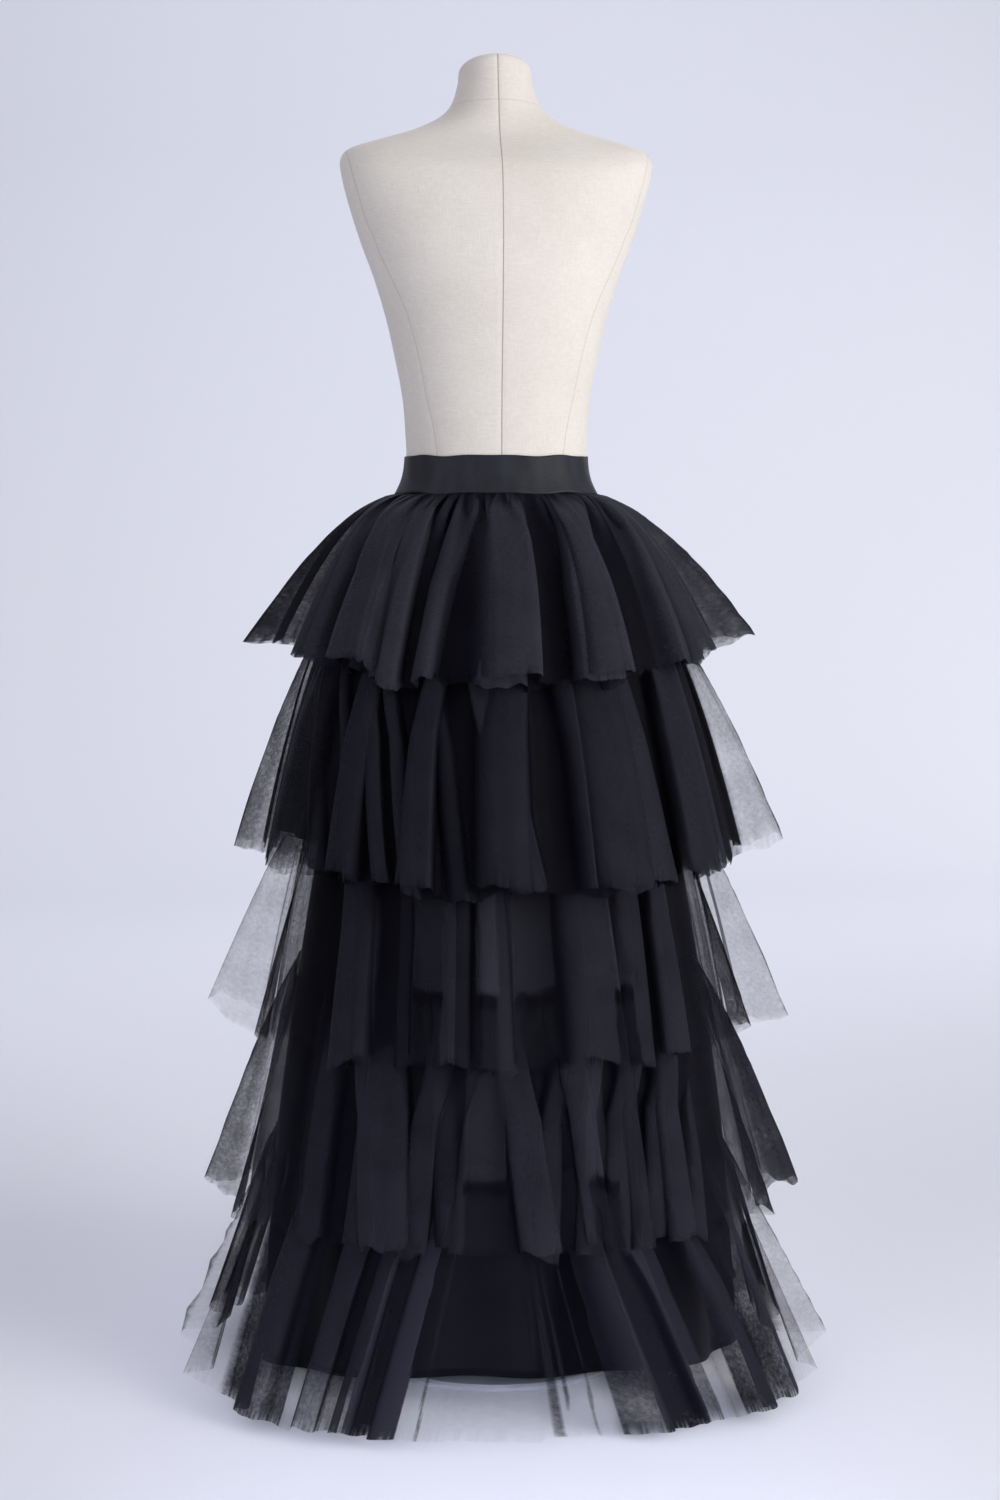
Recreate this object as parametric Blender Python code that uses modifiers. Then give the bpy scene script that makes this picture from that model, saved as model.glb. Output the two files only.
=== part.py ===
"""Five-tier tulle skirt on an armless dress form, with the pole and round base that the form stands on.

Run with: blender --background --python part.py

Metres, +Z up. The origin is the middle of the base's underside, on the floor. The form's back
faces -Y and its bust +Y. Every cloth piece is an open surface of rings with a Solidify modifier:
the rings come from the tables below, and each tier's seam is the lining's own ring, moved out.
"""

import math
from collections import namedtuple

import bmesh
import bpy
from mathutils import Vector

# ---------------------------------------------------------------- driving dimensions

SEAM_GAP = 0.0003  # between any two pieces that are sewn, or that rest on each other
CLOTH = 0.0012  # wall of the tulle tiers and of the lining
ELASTIC = 0.0020  # wall of the waistband

FORM_SIDES = 40  # points round the form, the waistband and the lining
TIER_SIDES = 120  # points round a tier, a multiple of FORM_SIDES

BAND_TOP = 1.085
BAND_BOTTOM = 1.041

FORM_BOTTOM = 0.775

BUST_APART = 0.078  # half the distance between the two cups
BUST_HEIGHT = 1.252
BUST_SPREAD = 0.043
BUST_DEPTH = 0.022

POLE_RADIUS = 0.0125
POLE_IN_FORM = 0.060  # how far the pole goes up into the form
POLE_TOP = FORM_BOTTOM + POLE_IN_FORM
BASE_RADIUS = 0.160
BASE_THICK = 0.007
BASE_EDGE = 0.003
HUB_RADIUS = 0.024
HUB_TOP = 0.032
HUB_FLOOR = 0.004  # bottom of the hub's socket

# The form, section by section from the hips' flat underside up to the neck. Depths run from the
# section's own centre towards the back (-Y) and the front (+Y). Squareness is the exponent of the
# superellipse: 2 is an ellipse. Tilt, in degrees, lifts the back of the neck's rings.
Section = namedtuple("Section", "height half_width back front centre_y squareness tilt")
FORM = [
    Section(FORM_BOTTOM, 0.145, 0.090, 0.080, -0.004, 2.3, 0),
    Section(0.840, 0.156, 0.104, 0.088, -0.004, 2.2, 0),
    Section(0.900, 0.158, 0.106, 0.090, -0.003, 2.1, 0),
    Section(0.955, 0.148, 0.098, 0.087, -0.002, 2.1, 0),
    Section(1.000, 0.1310, 0.088, 0.083, 0.000, 2.1, 0),
    Section(BAND_BOTTOM, 0.1150, 0.080, 0.079, 0.000, 2.1, 0),
    Section(1.063, 0.1090, 0.076, 0.077, 0.000, 2.1, 0),
    Section(BAND_TOP, 0.1068, 0.074, 0.076, 0.000, 2.1, 0),
    Section(1.106, 0.1075, 0.074, 0.077, 0.000, 2.1, 0),
    Section(1.152, 0.1110, 0.077, 0.081, 0.000, 2.1, 0),
    Section(1.199, 0.1196, 0.083, 0.088, 0.000, 2.2, 0),
    Section(1.246, 0.1301, 0.090, 0.096, 0.000, 2.2, 0),
    Section(1.293, 0.1440, 0.095, 0.098, 0.000, 2.3, 0),
    Section(1.339, 0.1610, 0.097, 0.092, 0.000, 2.4, 0),
    Section(1.386, 0.1755, 0.093, 0.080, 0.001, 2.6, 0),
    Section(1.414, 0.1820, 0.086, 0.069, 0.002, 2.8, 0),
    Section(1.431, 0.1830, 0.076, 0.060, 0.004, 2.8, 0),
    Section(1.443, 0.1720, 0.067, 0.054, 0.006, 2.7, 0),
    Section(1.455, 0.1350, 0.060, 0.051, 0.009, 2.5, 0),
    Section(1.466, 0.0990, 0.056, 0.049, 0.011, 2.3, 0),
    Section(1.478, 0.0720, 0.053, 0.048, 0.013, 2.1, 2),
    Section(1.490, 0.0570, 0.050, 0.048, 0.015, 2.0, 5),
    Section(1.504, 0.0490, 0.047, 0.047, 0.017, 2.0, 9),
    Section(1.523, 0.0440, 0.044, 0.044, 0.020, 2.0, 13),
    Section(1.537, 0.0420, 0.042, 0.042, 0.022, 2.0, 17),
    Section(1.543, 0.0340, 0.034, 0.034, 0.023, 2.0, 17),
]

# The lining, an A-line from the waistband over the hips to its hem. Fold is the depth of its
# soft folds at that height.
Lining = namedtuple("Lining", "height half_width back front fold")
LINING_FOLDS = 9
LINING_SQUARENESS = 2.1
LINING_DROP = 0.0010  # from the band's lower edge to the lining's own top edge
FIRST_TIER_DROP = 0.0026  # and from there to the first tier's, which has the lining's wall inside it
FIRST_TIER_OUT = 0.0041
LINING_BACK_LIFT = 0.030  # the lining's hem is this much higher at front and back than at the sides
LINING = [
    Lining(BAND_BOTTOM, 0.1150, 0.080, 0.079, 0.0),
    Lining(1.010, 0.1385, 0.096, 0.090, 0.0),
    Lining(0.955, 0.1590, 0.112, 0.102, 0.0),
    Lining(0.925, 0.1660, 0.119, 0.110, 0.0),
    Lining(0.900, 0.1720, 0.126, 0.117, 0.0),
    Lining(0.800, 0.1880, 0.142, 0.134, 0.001),
    Lining(0.700, 0.2030, 0.157, 0.151, 0.002),
    Lining(0.483, 0.2380, 0.190, 0.186, 0.004),
    Lining(0.275, 0.2660, 0.220, 0.216, 0.006),
    Lining(0.014, 0.2830, 0.240, 0.236, 0.008),
]

# The gathered rings sewn to the lining: the short opaque flounce and the five tulle tiers. Each
# leaves its seam outwards and falls to its hem. Hem half width, back and front are measured to the
# middle of its folds, depth is the folds' own reach to either side of it, and bow is the exponent
# of its profile: the smaller, the sooner it stands out from the seam.
Ring = namedtuple("Ring", "name seam side_hem face_hem half_width back front bow folds depth turn")
FLOUNCE = Ring("under_flounce", 0.900, 0.645, 0.640, 0.266, 0.224, 0.217, 0.55, 10, 0.005, 0.20)
TIERS = [
    Ring("tier_1", BAND_BOTTOM, 0.870, 0.834, 0.285, 0.243, 0.238, 0.55, 19, 0.019, 0.30),
    Ring("tier_2", 0.925, 0.620, 0.604, 0.314, 0.272, 0.266, 0.50, 20, 0.022, 0.95),
    Ring("tier_3", 0.700, 0.416, 0.406, 0.325, 0.287, 0.282, 0.66, 20, 0.022, 2.10),
    Ring("tier_4", 0.483, 0.202, 0.200, 0.343, 0.308, 0.303, 0.85, 20, 0.022, 3.40),
    Ring("tier_5", 0.275, 0.022, 0.014, 0.373, 0.348, 0.342, 1.15, 20, 0.022, 4.80),
]
FIRST_TIER_ROWS = (0.0, 0.06, 0.22, 0.58, 1.0)  # shares of the drop from seam to hem
TIER_ROWS = (0.0, 0.13, 0.50, 1.0)

TURN = 2 * math.pi
UP = Vector((0, 0, 1))


# ---------------------------------------------------------------- materials and mesh helpers

def finish(name, colour, roughness, metallic=0.0):
    """A Principled material with a linear RGB colour."""
    material = bpy.data.materials.new(name)
    material.use_nodes = True
    shader = material.node_tree.nodes["Principled BSDF"]
    shader.inputs["Base Color"].default_value = (*colour, 1.0)
    shader.inputs["Roughness"].default_value = roughness
    shader.inputs["Metallic"].default_value = metallic
    return material


def loft(name, rings, close_ends=False):
    """A mesh through rings of equal count, listed from the lowest up and each anticlockwise from above."""
    bm = bmesh.new()
    rows = [[bm.verts.new(point) for point in ring] for ring in rings]
    count = len(rows[0])
    for lower, upper in zip(rows, rows[1:]):
        for i in range(count):
            j = (i + 1) % count
            bm.faces.new((lower[i], lower[j], upper[j], upper[i]))
    if close_ends:
        bm.faces.new(list(reversed(rows[0])))
        bm.faces.new(rows[-1])
    mesh = bpy.data.meshes.new(name)
    bm.to_mesh(mesh)
    bm.free()
    return mesh


def add_piece(collection, name, mesh, material, sharp_degrees=40):
    """The mesh as a named object with its material, shaded smooth."""
    mesh.materials.append(material)
    mesh.shade_smooth()
    mesh.set_sharp_from_angle(angle=math.radians(sharp_degrees))
    piece = bpy.data.objects.new(name, mesh)
    collection.objects.link(piece)
    return piece


def add_wall(piece, thickness):
    """Gives an open cloth surface its thickness, outwards."""
    solidify = piece.modifiers.new("wall", "SOLIDIFY")
    solidify.thickness = thickness
    solidify.offset = 1.0
    solidify.use_even_offset = True


# ---------------------------------------------------------------- the form

def round_power(value, squareness):
    return math.copysign(abs(value) ** (2 / squareness), value)


def form_ring(section, out=0.0):
    """The form's ring at a section, moved out by a distance along its own normals."""
    ring = []
    for i in range(FORM_SIDES):
        angle = TURN * i / FORM_SIDES
        x = section.half_width * round_power(math.cos(angle), section.squareness)
        side = round_power(math.sin(angle), section.squareness)
        y = section.centre_y + side * (section.front if side > 0 else section.back)
        if side > 0:
            y += bust_fullness(x, section.height) * side
        lift = math.tan(math.radians(section.tilt)) * (section.centre_y - y)
        ring.append(Vector((x, y, section.height + lift)))
    return moved_out(ring, out)


def bust_fullness(x, height):
    """How far the padded bust stands forward of the plain section."""
    up = (height - BUST_HEIGHT) / BUST_SPREAD
    cups = sum(math.exp(-0.5 * (((x - s * BUST_APART) / BUST_SPREAD) ** 2 + up ** 2)) for s in (-1, 1))
    return BUST_DEPTH * cups


def normals_of(ring):
    """The horizontal outward normal at each point of an anticlockwise ring."""
    count = len(ring)
    found = []
    for i in range(count):
        along = ring[(i + 1) % count] - ring[i - 1]
        found.append(Vector((along.y, -along.x, 0)).normalized())
    return found


def moved_out(ring, distance):
    return [point + normal * distance for point, normal in zip(ring, normals_of(ring))]


def make_form(collection, linen):
    """The padded torso, one solid from hips to neck, with a socket for the pole in its underside."""
    mesh = loft("form_torso", [form_ring(section) for section in FORM], close_ends=True)
    torso = add_piece(collection, "form_torso", mesh, linen)
    socket = turned_cutter("pole_socket", POLE_RADIUS + SEAM_GAP, FORM_BOTTOM - 0.02, POLE_TOP + SEAM_GAP)
    cut = torso.modifiers.new("socket", "BOOLEAN")
    cut.operation = "DIFFERENCE"
    cut.object = socket
    return torso


def turned_cutter(name, radius, low, high):
    """A hidden cylinder along Z, used only to cut."""
    bpy.ops.mesh.primitive_cylinder_add(
        vertices=24, radius=radius, depth=high - low, location=(0, 0, (low + high) / 2)
    )
    cutter = bpy.context.object
    cutter.name = name
    cutter.hide_render = True
    cutter.display_type = "WIRE"
    for owner in list(cutter.users_collection):
        owner.objects.unlink(cutter)
    cutters = bpy.data.collections.get("cutters") or bpy.data.collections.new("cutters")
    if "cutters" not in bpy.context.scene.collection.children:
        bpy.context.scene.collection.children.link(cutters)
    cutters.objects.link(cutter)
    return cutter


# ---------------------------------------------------------------- the stand

def make_pole(collection, white):
    """The stand's pole, from the base's hub up into the form."""
    bpy.ops.mesh.primitive_cylinder_add(
        vertices=24,
        radius=POLE_RADIUS,
        depth=POLE_TOP - HUB_FLOOR - SEAM_GAP,
        location=(0, 0, (POLE_TOP + HUB_FLOOR + SEAM_GAP) / 2),
    )
    pole = bpy.context.object
    pole.name = "stand_pole"
    pole.data.name = "stand_pole"
    pole.data.materials.append(white)
    pole.data.shade_smooth()
    pole.data.set_sharp_from_angle(angle=math.radians(40))
    for owner in list(pole.users_collection):
        owner.objects.unlink(pole)
    collection.objects.link(pole)
    return pole


def make_base(collection, white):
    """The round base plate and its hub, a profile turned about the pole's axis."""
    socket = POLE_RADIUS + SEAM_GAP
    profile = [
        (0.0, HUB_FLOOR),
        (socket, HUB_FLOOR),
        (socket, HUB_TOP),
        (HUB_RADIUS - BASE_EDGE, HUB_TOP),
        (HUB_RADIUS, HUB_TOP - BASE_EDGE),
        (HUB_RADIUS, BASE_THICK + BASE_EDGE),
        (HUB_RADIUS + BASE_EDGE, BASE_THICK),
        (BASE_RADIUS - BASE_EDGE, BASE_THICK),
        (BASE_RADIUS, BASE_THICK - BASE_EDGE),
        (BASE_RADIUS, 0.0),
        (0.0, 0.0),
    ]
    mesh = bpy.data.meshes.new("stand_base")
    points = [(radius, 0.0, height) for radius, height in profile]
    mesh.from_pydata(points, [(i, i + 1) for i in range(len(points) - 1)], [])
    base = bpy.data.objects.new("stand_base", mesh)
    collection.objects.link(base)
    mesh.materials.append(white)
    turn = base.modifiers.new("turn", "SCREW")
    turn.steps = turn.render_steps = 48
    turn.use_merge_vertices = True
    turn.merge_threshold = 0.0001
    turn.use_smooth_shade = True
    return base


# ---------------------------------------------------------------- the skirt

def make_waistband(collection, elastic):
    """The elastic band, drawn close round the form's waist."""
    rings = [form_ring(section, SEAM_GAP) for section in FORM if BAND_BOTTOM <= section.height <= BAND_TOP]
    band = add_piece(collection, "waistband", loft("waistband", rings), elastic)
    add_wall(band, ELASTIC)
    return band


def lining_ring(row):
    """The lining's inner face at a row of its table."""
    if row.height == BAND_BOTTOM:
        section = next(s for s in FORM if s.height == BAND_BOTTOM)
        return [point - UP * LINING_DROP for point in form_ring(section, 3 * SEAM_GAP)]
    ring = []
    for i in range(FORM_SIDES):
        angle = TURN * i / FORM_SIDES
        across = round_power(math.cos(angle), LINING_SQUARENESS)
        side = round_power(math.sin(angle), LINING_SQUARENESS)
        depth = row.front if side > 0 else row.back
        out = 1 + row.fold / row.half_width * math.cos(LINING_FOLDS * angle + 0.7)
        lift = LINING_BACK_LIFT * side ** 2 if row == LINING[-1] else 0.0
        ring.append(Vector((row.half_width * across * out, depth * side * out, row.height + lift)))
    return ring


def make_lining(collection, satin):
    """The opaque A-line underskirt that the flounce and every tier are sewn to."""
    rings = [lining_ring(row) for row in reversed(LINING)]
    lining = add_piece(collection, "lining", loft("lining", rings), satin)
    add_wall(lining, CLOTH)
    return lining


def seam_ring(height, sides):
    """A gathered top edge: the lining's ring at that height, moved out past its wall."""
    row = next(r for r in LINING if r.height == height)
    if height == BAND_BOTTOM:
        ring = [p - UP * FIRST_TIER_DROP for p in moved_out(lining_ring(row), FIRST_TIER_OUT)]
    else:
        ring = moved_out(lining_ring(row), CLOTH + SEAM_GAP)
    share = sides // FORM_SIDES
    fine = []
    for i in range(FORM_SIDES):
        start, end = ring[i], ring[(i + 1) % FORM_SIDES]
        fine += [start.lerp(end, k / share) for k in range(share)]
    return fine


def fold_wave(ring, share):
    """The folds round a ring, from -1 in a valley to 1 on a crest, uneven in width and depth."""
    drift = 0.010 * math.sin(TURN * 3 * share + ring.turn) + 0.006 * math.sin(TURN * 7 * share + 2 * ring.turn)
    phase = TURN * ring.folds * (share + drift) + ring.turn
    depth = 0.82 + 0.18 * math.sin(TURN * 5 * share + 3 * ring.turn)
    return depth * math.cos(phase)


def gathered_row(ring, seam, down):
    """A row of a gathered ring at a share of its drop from seam to hem."""
    row = []
    for i, (point, outward) in enumerate(zip(seam, normals_of(seam))):
        angle = TURN * i / len(seam)
        side = math.sin(angle)
        depth = ring.front if side > 0 else ring.back
        hem_height = ring.side_hem + (ring.face_hem - ring.side_hem) * side ** 2
        hem = Vector((ring.half_width * math.cos(angle), depth * side, hem_height))
        spread = point.lerp(hem, down ** ring.bow)
        wave = ring.depth * down ** 0.8 * fold_wave(ring, i / len(seam))
        height = point.z + (hem_height - point.z) * down
        row.append(Vector((spread.x, spread.y, height)) + outward * wave)
    return row


def make_gathered(collection, ring, sides, rows, cloth):
    """One gathered ring of cloth, from its seam to its hem."""
    seam = seam_ring(ring.seam, sides)
    rings = [gathered_row(ring, seam, down) for down in reversed(rows)]
    piece = add_piece(collection, ring.name, loft(ring.name, rings), cloth)
    add_wall(piece, CLOTH)
    return piece


# ---------------------------------------------------------------- assembly

def main():
    for old in list(bpy.data.objects):
        bpy.data.objects.remove(old)
    collection = bpy.data.collections.new("tulle_skirt_on_dress_form")
    bpy.context.scene.collection.children.link(collection)

    linen = finish("cream_linen", (0.74, 0.70, 0.65), 0.85)
    white = finish("white_enamel", (0.80, 0.81, 0.84), 0.35)
    elastic = finish("black_elastic", (0.020, 0.022, 0.026), 0.65)
    satin = finish("black_satin", (0.008, 0.008, 0.012), 0.55)
    tulle = finish("black_tulle", (0.014, 0.014, 0.020), 0.80)

    make_form(collection, linen)
    make_pole(collection, white)
    make_base(collection, white)
    make_waistband(collection, elastic)
    make_lining(collection, satin)
    make_gathered(collection, FLOUNCE, 2 * FORM_SIDES, TIER_ROWS, satin)
    for tier in TIERS:
        rows = FIRST_TIER_ROWS if tier.seam == BAND_BOTTOM else TIER_ROWS
        make_gathered(collection, tier, TIER_SIDES, rows, tulle)


main()
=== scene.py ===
import math

import bmesh
import bpy
import numpy as np
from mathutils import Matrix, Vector


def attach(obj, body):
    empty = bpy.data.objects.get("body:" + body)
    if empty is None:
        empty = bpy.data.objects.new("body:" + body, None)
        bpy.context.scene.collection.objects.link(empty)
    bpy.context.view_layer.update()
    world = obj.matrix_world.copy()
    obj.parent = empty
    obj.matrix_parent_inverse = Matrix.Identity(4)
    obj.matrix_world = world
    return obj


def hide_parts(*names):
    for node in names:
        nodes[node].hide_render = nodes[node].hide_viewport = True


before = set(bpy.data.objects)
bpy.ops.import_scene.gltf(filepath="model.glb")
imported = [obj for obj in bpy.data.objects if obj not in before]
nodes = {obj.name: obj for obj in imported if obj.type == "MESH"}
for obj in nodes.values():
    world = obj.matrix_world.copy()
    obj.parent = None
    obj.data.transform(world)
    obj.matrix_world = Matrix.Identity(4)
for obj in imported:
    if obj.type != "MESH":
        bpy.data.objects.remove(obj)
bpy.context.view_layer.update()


# ------------------------------------------------------------------ pole and base
# The stand: a steel tube that plugs into the torso, and a turned steel plate with a hub.
# Both are sprayed with a satin white enamel, which the skirt keeps in its shade.


def linear(colour):
    """An sRGB hex colour, such as "#c8c4bc", as linear red, green, blue and alpha."""
    parts = [int(colour[i:i + 2], 16) / 255 for i in (1, 3, 5)]
    return (*[c / 12.92 if c <= 0.04045 else ((c + 0.055) / 1.055) ** 2.4 for c in parts], 1.0)


def add_node(tree, kind, links=(), **settings):
    """A shader node with its settings. Links are (input, value or another node's output)."""
    node = tree.nodes.new(kind)
    for setting, value in settings.items():
        setattr(node, setting, value)
    for socket, value in links:
        if isinstance(value, bpy.types.NodeSocket):
            tree.links.new(value, node.inputs[socket])
        else:
            node.inputs[socket].default_value = value
    return node


def new_material(name, **values):
    """(material, its node tree, its Principled shader), with constants set on the shader."""
    material = bpy.data.materials.new(name)
    material.use_nodes = True
    tree = material.node_tree
    shader = tree.nodes["Principled BSDF"]
    for socket, value in values.items():
        shader.inputs[socket.replace("_", " ")].default_value = value
    return material, tree, shader


def wear(obj, material):
    """The whole object in one material."""
    obj.data.materials.clear()
    obj.data.materials.append(material)


# Sprayed enamel on steel: slight orange peel, 2 mm across, under a satin gloss that dust dulls in
# patches 50 mm wide. It is drawn as grey as white looks in the shade under the hem.
enamel, tree, shader = new_material(
    "satin_white_enamel", Base_Color=linear("#8e9098"), Specular_IOR_Level=0.30
)
place = add_node(tree, "ShaderNodeTexCoord").outputs["Object"]
peel = add_node(tree, "ShaderNodeTexNoise", [("Vector", place), ("Scale", 1 / 0.002), ("Detail", 2.0)])
dust = add_node(tree, "ShaderNodeTexNoise", [("Vector", place), ("Scale", 1 / 0.05), ("Detail", 4.0)])
dulled = add_node(
    tree, "ShaderNodeMapRange", [("Value", dust.outputs["Fac"]), ("To Min", 0.44), ("To Max", 0.58)]
)
peeled = add_node(
    tree, "ShaderNodeBump", [("Height", peel.outputs["Fac"]), ("Strength", 0.08), ("Distance", 0.0002)]
)
tree.links.new(dulled.outputs["Result"], shader.inputs["Roughness"])
tree.links.new(peeled.outputs["Normal"], shader.inputs["Normal"])
for name in ("stand_pole", "stand_base"):
    wear(nodes[name], enamel)


# ------------------------------------------------------------------ torso
# The dress form: a moulded shell with a thin pad, covered in cream linen cut in panels and sewn
# edge to edge. The panels meet at the centre back and front and over each shoulder blade.

AROUND_FORM = 320
UP_FORM = 260
# share of the sheet that closes over the underside, and again over the neck
CLOSING = 0.02
# how wide and deep the seams pull into the pad
SEAM_WIDTH = 0.003
SEAM_DEPTH = 0.0005
# height of the neck's seam over the centre line; it runs down towards the front by a tenth
NECK_SEAM = 1.494
WAIST_LOW = 1.041
WAIST_HIGH = 1.085
BUST = {"apart": 0.078, "height": 1.252, "spread": 0.043, "depth": 0.022}
# height, half width, depth to the back, depth to the front, centre y, squareness, tilt in degrees
FORM = np.array([
    (0.775, 0.1450, 0.090, 0.080, -0.004, 2.3, 0),
    (0.840, 0.1560, 0.104, 0.088, -0.004, 2.2, 0),
    (0.900, 0.1580, 0.106, 0.090, -0.003, 2.1, 0),
    (0.955, 0.1480, 0.098, 0.087, -0.002, 2.1, 0),
    (1.000, 0.1310, 0.088, 0.083, 0.000, 2.1, 0),
    (WAIST_LOW, 0.1150, 0.080, 0.079, 0.000, 2.1, 0),
    (1.063, 0.1090, 0.076, 0.077, 0.000, 2.1, 0),
    (WAIST_HIGH, 0.1068, 0.074, 0.076, 0.000, 2.1, 0),
    (1.106, 0.1075, 0.074, 0.077, 0.000, 2.1, 0),
    (1.152, 0.1110, 0.077, 0.081, 0.000, 2.1, 0),
    (1.199, 0.1196, 0.083, 0.088, 0.000, 2.2, 0),
    (1.246, 0.1301, 0.090, 0.096, 0.000, 2.2, 0),
    (1.293, 0.1440, 0.095, 0.098, 0.000, 2.3, 0),
    (1.339, 0.1610, 0.097, 0.092, 0.000, 2.4, 0),
    (1.386, 0.1755, 0.093, 0.080, 0.001, 2.6, 0),
    (1.414, 0.1820, 0.086, 0.069, 0.002, 2.8, 0),
    (1.431, 0.1830, 0.076, 0.060, 0.004, 2.8, 0),
    (1.443, 0.1720, 0.067, 0.054, 0.006, 2.7, 0),
    (1.455, 0.1350, 0.060, 0.051, 0.009, 2.5, 0),
    (1.466, 0.0990, 0.056, 0.049, 0.011, 2.3, 0),
    (1.478, 0.0720, 0.053, 0.048, 0.013, 2.1, 2),
    (1.490, 0.0570, 0.050, 0.048, 0.015, 2.0, 5),
    (1.504, 0.0490, 0.047, 0.047, 0.017, 2.0, 9),
    (1.523, 0.0440, 0.044, 0.044, 0.020, 2.0, 13),
    (1.537, 0.0420, 0.042, 0.042, 0.022, 2.0, 17),
    (1.543, 0.0340, 0.034, 0.034, 0.023, 2.0, 17),
])
# height and distance from the centre line of the shoulder-blade seam
BLADE_SEAM = np.array([
    (0.775, 0.088), (0.900, 0.094), (1.041, 0.076), (1.085, 0.074), (1.152, 0.086),
    (1.246, 0.108), (1.339, 0.147), (1.386, 0.164), (1.431, 0.176), (1.600, 0.190),
])


def smooth_rows(table, at):
    """Rows of a table at fractional row numbers, through a Catmull-Rom curve."""
    low = np.clip(np.floor(at).astype(int), 0, len(table) - 2)
    part = (at - low)[:, None]
    before, start, end, after = (table[np.clip(low + k, 0, len(table) - 1)] for k in (-1, 0, 1, 2))
    return 0.5 * (
        2 * start + (end - before) * part + (2 * before - 5 * start + 4 * end - after) * part ** 2
        + (3 * start - before - 3 * end + after) * part ** 3
    )


def smooth_at(table, values):
    """The table's other columns where its first column has these values."""
    return smooth_rows(table, np.interp(values, table[:, 0], np.arange(len(table))))


def form_skin(turn, section, out=0.0):
    """Points of the form's skin at each turn (radians) and section row of smoothed FORM values."""
    height, half, back, front, middle, square, tilt = section.T
    cosine, sine = np.cos(turn), np.sin(turn)
    across = np.sign(cosine) * np.abs(cosine) ** (2 / square)
    side = np.sign(sine) * np.abs(sine) ** (2 / square)
    x = (half + out) * across
    y = middle + side * (np.where(side > 0, front, back) + out)
    up = (height - BUST["height"]) / BUST["spread"]
    cups = sum(np.exp(-0.5 * (((x - s * BUST["apart"]) / BUST["spread"]) ** 2 + up ** 2)) for s in (-1, 1))
    y = y + np.where(side > 0, BUST["depth"] * cups * side, 0)
    return np.stack([x, y, height + np.tan(np.radians(tilt)) * (middle - y)], axis=1)


def cloth_grid(name, columns, rows, place, size, closed=True, painted=()):
    """A grid of cloth: place(u, v) gives its points, u runs anticlockwise and v upwards, both 0 to 1.
    Its UV map "cut" is in metres on the flat piece, whose size is (width, length). Each of painted
    is (attribute name, function of u and v), a value that the material reads."""
    bm = bmesh.new()
    bmesh.ops.create_grid(bm, x_segments=columns, y_segments=rows, size=0.5)
    mesh = bpy.data.meshes.new(name)
    bm.to_mesh(mesh)
    bm.free()
    flat = np.empty(3 * len(mesh.vertices))
    mesh.vertices.foreach_get("co", flat)
    u, v = flat[0::3] + 0.5, flat[1::3] + 0.5
    mesh.vertices.foreach_set("co", place(u, v).ravel())
    for attribute, value in painted:
        mesh.attributes.new(attribute, "FLOAT", "POINT").data.foreach_set("value", value(u, v))
    corner = np.empty(len(mesh.loops), dtype=np.int32)
    mesh.loops.foreach_get("vertex_index", corner)
    cut = mesh.uv_layers.new(name="cut")
    cut.data.foreach_set("uv", np.stack([u[corner] * size[0], v[corner] * size[1]], axis=1).ravel())
    if closed:
        bm = bmesh.new()
        bm.from_mesh(mesh)
        bmesh.ops.remove_doubles(bm, verts=[e for e in bm.verts if e.is_boundary], dist=0.00002)
        bm.to_mesh(mesh)
        bm.free()
    mesh.shade_smooth()
    obj = bpy.data.objects.new(name, mesh)
    bpy.context.scene.collection.objects.link(obj)
    return obj


def torso_place(u, v):
    """The whole torso: the underside, the skin and the neck's cap in one sheet."""
    share = np.clip(v * (1 + 2 * CLOSING) - CLOSING, 0, 1)
    section = smooth_rows(FORM, share * (len(FORM) - 1))
    points = form_skin(2 * math.pi * u, section)
    # the centre seam runs up the front and the back, the fainter blade seams up the back only
    x = np.abs(points[:, 0])
    blade = smooth_at(BLADE_SEAM, points[:, 2])[:, 1]
    pull = np.exp(-(x / SEAM_WIDTH) ** 2)
    pull = pull + 0.5 * np.exp(-((x - blade) / SEAM_WIDTH) ** 2) * (points[:, 1] < 0)
    outward = points - np.stack([0 * x, 0 * x + 0.01, points[:, 2]], axis=1)
    outward /= np.linalg.norm(outward, axis=1)[:, None]
    points = points - outward * (SEAM_DEPTH * pull)[:, None]
    closing = np.clip(np.minimum(v, 1 - v) / CLOSING, 0, 1)[:, None]
    middle = np.stack([0 * x, section[:, 4], points[:, 2]], axis=1)
    return middle + (points - middle) * closing


def off_blade_seam(u, v):
    """Metres across from the shoulder-blade seam on the same side."""
    points = torso_place(u, v)
    return np.abs(points[:, 0]) - smooth_at(BLADE_SEAM, points[:, 2])[:, 1]


def off_neck_seam(u, v):
    """Metres above the seam round the foot of the neck."""
    points = torso_place(u, v)
    return points[:, 2] + 0.1 * points[:, 1] - NECK_SEAM


# Plain-woven linen, cream: uneven threads 1.2 mm apart, drawn coarser than the real 0.5 mm so they
# show, with slubs and a faint unevenness in tone. Matt, with a little fuzz. The seams are grooves
# that lie in their own shadow, painted into the colour as a darker line.
linen, tree, shader = new_material("cream_linen", Roughness=0.88, Sheen_Weight=0.15, Sheen_Roughness=0.5)
place = add_node(tree, "ShaderNodeTexCoord").outputs["Object"]
upright = add_node(tree, "ShaderNodeMapping", [("Vector", place), ("Scale", (1.0, 1.0, 0.12))])
lying = add_node(tree, "ShaderNodeMapping", [("Vector", place), ("Scale", (0.12, 0.12, 1.0))])
warp = add_node(
    tree, "ShaderNodeTexNoise", [("Vector", upright.outputs[0]), ("Scale", 1 / 0.0012), ("Detail", 2.0)]
)
weft = add_node(
    tree, "ShaderNodeTexNoise", [("Vector", lying.outputs[0]), ("Scale", 1 / 0.0012), ("Detail", 2.0)]
)
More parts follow.
